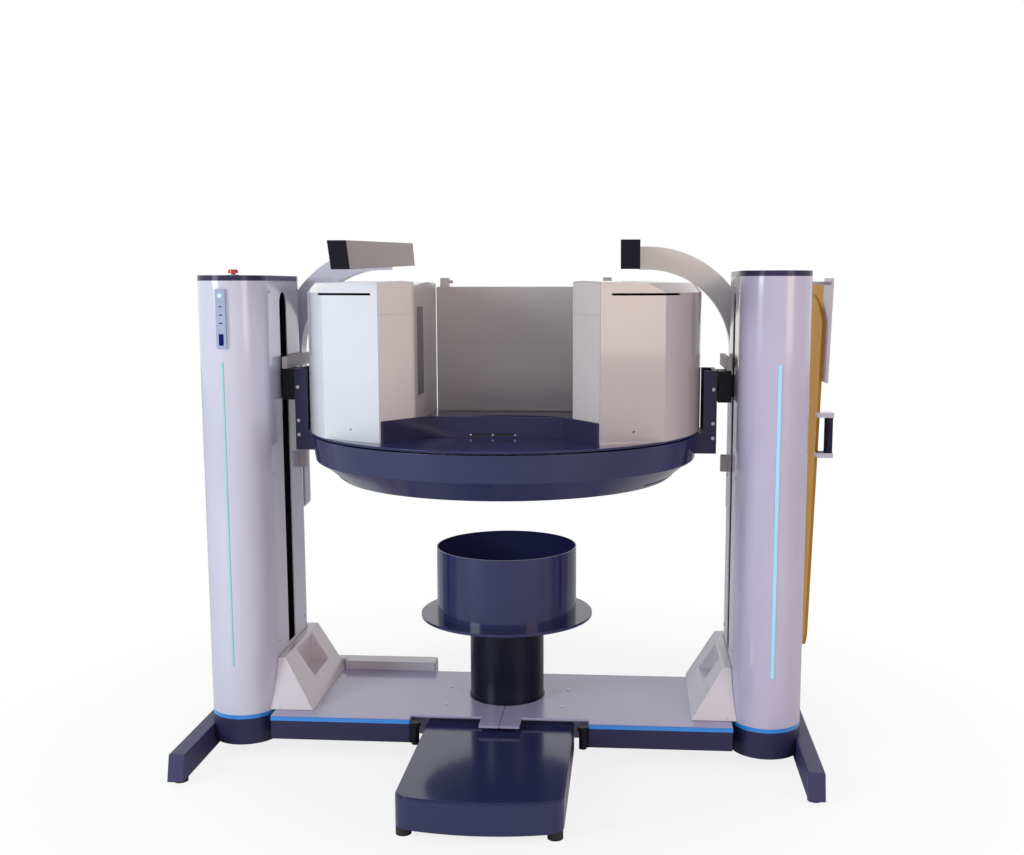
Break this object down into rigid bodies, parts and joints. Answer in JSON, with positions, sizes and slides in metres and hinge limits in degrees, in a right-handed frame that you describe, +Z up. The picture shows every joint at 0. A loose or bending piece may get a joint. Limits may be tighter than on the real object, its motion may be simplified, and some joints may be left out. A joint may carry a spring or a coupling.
{
  "type": "standing cone-beam ct scanner",
  "caption": "Standing cone-beam scanner: two columns lift a round gantry with turning towers over a raised foot tub, with handrails and a step",
  "frame": {"origin": "on the floor at the vertical axis of the pedestal and foot tub", "axes": "X to the right seen from the step side, Y to the back, Z up"},
  "size_m": [1.85, 1.299, 1.499],
  "materials": {
    "white_paint": "gloss",
    "white_plastic": "gloss",
    "slate_paint": "gloss",
    "dark_paint": "satin",
    "black_plastic": "satin",
    "cap_plastic": "gloss",
    "rubber": "matte",
    "steel": "satin",
    "aluminium": "satin",
    "blue_band": "gloss",
    "light_lens": "gloss",
    "rail_metal": "brushed",
    "beige_paint": "satin",
    "amber_board": "gloss",
    "panel_blue": "gloss",
    "display_glass": "gloss",
    "red_plastic": "gloss",
    "lit_button": "gloss",
    "window_carbon": "satin"
  },
  "bodies": {
    "base": {"base_frame": "dark_paint", "floor_pads": "rubber", "outriggers": "dark_paint", "base_cover_left": "white_plastic", "base_cover_right": "white_plastic", "rear_ledge": "white_plastic", "gussets": "white_plastic", "bumpers": "black_plastic", "edge_stripe": "blue_band", "step_platform": "slate_paint", "pedestal": "dark_paint", "tub_disc": "slate_paint", "foot_tub": "slate_paint", "power_unit": "aluminium", "column_feet": "dark_paint", "column_frames": "steel", "column_shell_left": "white_plastic", "column_shell_right": "white_plastic", "slot_panels": "white_plastic", "column_caps": "cap_plastic", "light_strips": "light_lens", "guide_rails": "steel", "lift_motors": "aluminium", "control_panel": "panel_blue", "display": "display_glass", "stop_collar": "white_plastic", "handrail_arms": "white_paint", "rails": "rail_metal", "rail_caps": "black_plastic", "side_bracket": "beige_paint", "support_board": "amber_board", "board_handle": "black_plastic", "panel_screws": "steel", "top_stops": "beige_paint", "side_boxes": "aluminium"},
    "left_carriage": {"carriage_left": "dark_paint"},
    "right_carriage": {"carriage_right": "dark_paint"},
    "gantry": {"gantry_brackets": "dark_paint", "bracket_bolts": "white_paint", "pan": "slate_paint", "bearing_outer_ring": "steel", "rotation_motor": "aluminium"},
    "turning_ring": {"bearing_inner_ring": "steel", "deck": "slate_paint", "coaming": "dark_paint", "tower_cover_left": "white_plastic", "tower_cover_right": "white_plastic", "end_panels": "white_plastic", "inner_panels": "white_plastic", "windows": "window_carbon", "tower_frames": "aluminium", "rear_housing": "white_plastic", "laser_boxes": "white_plastic", "xray_source": "aluminium", "detector": "aluminium"},
    "lift_screw_left_body": {"lift_screw_left": "steel"},
    "lift_screw_right_body": {"lift_screw_right": "steel"},
    "stop_button_body": {"stop_button": "red_plastic"},
    "power_button_body": {"power_button": "lit_button"},
    "drive_roller_body": {"drive_roller": "rubber"}
  },
  "joints": [
    {"name": "lift", "type": "slide", "parent": "base", "child": "left_carriage", "axis": [0, 0, 1], "range_m": [-0.6, 0]},
    {"name": "lift_right", "type": "slide", "parent": "base", "child": "right_carriage", "axis": [0, 0, 1], "range_m": [-0.61, 0.01]},
    {"name": "tilt", "type": "hinge", "parent": "left_carriage", "child": "gantry", "pos_m": [0, 0, 1.075], "axis": [1, 0, 0], "range_deg": [-2, 2]},
    {"name": "rotation", "type": "hinge", "parent": "gantry", "child": "turning_ring", "pos_m": [0, 0, 0.95], "axis": [0, 0, 1], "continuous": true},
    {"name": "roller_spin", "type": "hinge", "parent": "gantry", "child": "drive_roller_body", "pos_m": [0, 0.4416, 0.9], "axis": [0, 0, 1], "continuous": true},
    {"name": "screw_left_spin", "type": "hinge", "parent": "base", "child": "lift_screw_left_body", "pos_m": [-0.78, 0, 0.7], "axis": [0, 0, 1], "range_deg": [-10810, 10]},
    {"name": "screw_right_spin", "type": "hinge", "parent": "base", "child": "lift_screw_right_body", "pos_m": [0.78, 0, 0.7], "axis": [0, 0, 1], "range_deg": [-10810, 10]},
    {"name": "stop_press", "type": "slide", "parent": "base", "child": "stop_button_body", "axis": [0, 0, 1], "range_m": [-0.003, 0]},
    {"name": "power_press", "type": "slide", "parent": "base", "child": "power_button_body", "axis": [0, 1, 0], "range_m": [0, 0.0015], "stiffness_N_per_m": 600, "springref_m": -0.001}
  ],
  "couplings": [
    {"joint": "lift_right", "follows": "lift", "ratio": 1},
    {"joint": "screw_left_spin", "follows": "lift", "rad_per_m": 314.16},
    {"joint": "screw_right_spin", "follows": "lift", "rad_per_m": 314.16},
    {"joint": "roller_spin", "follows": "rotation", "ratio": -16.234}
  ]
}
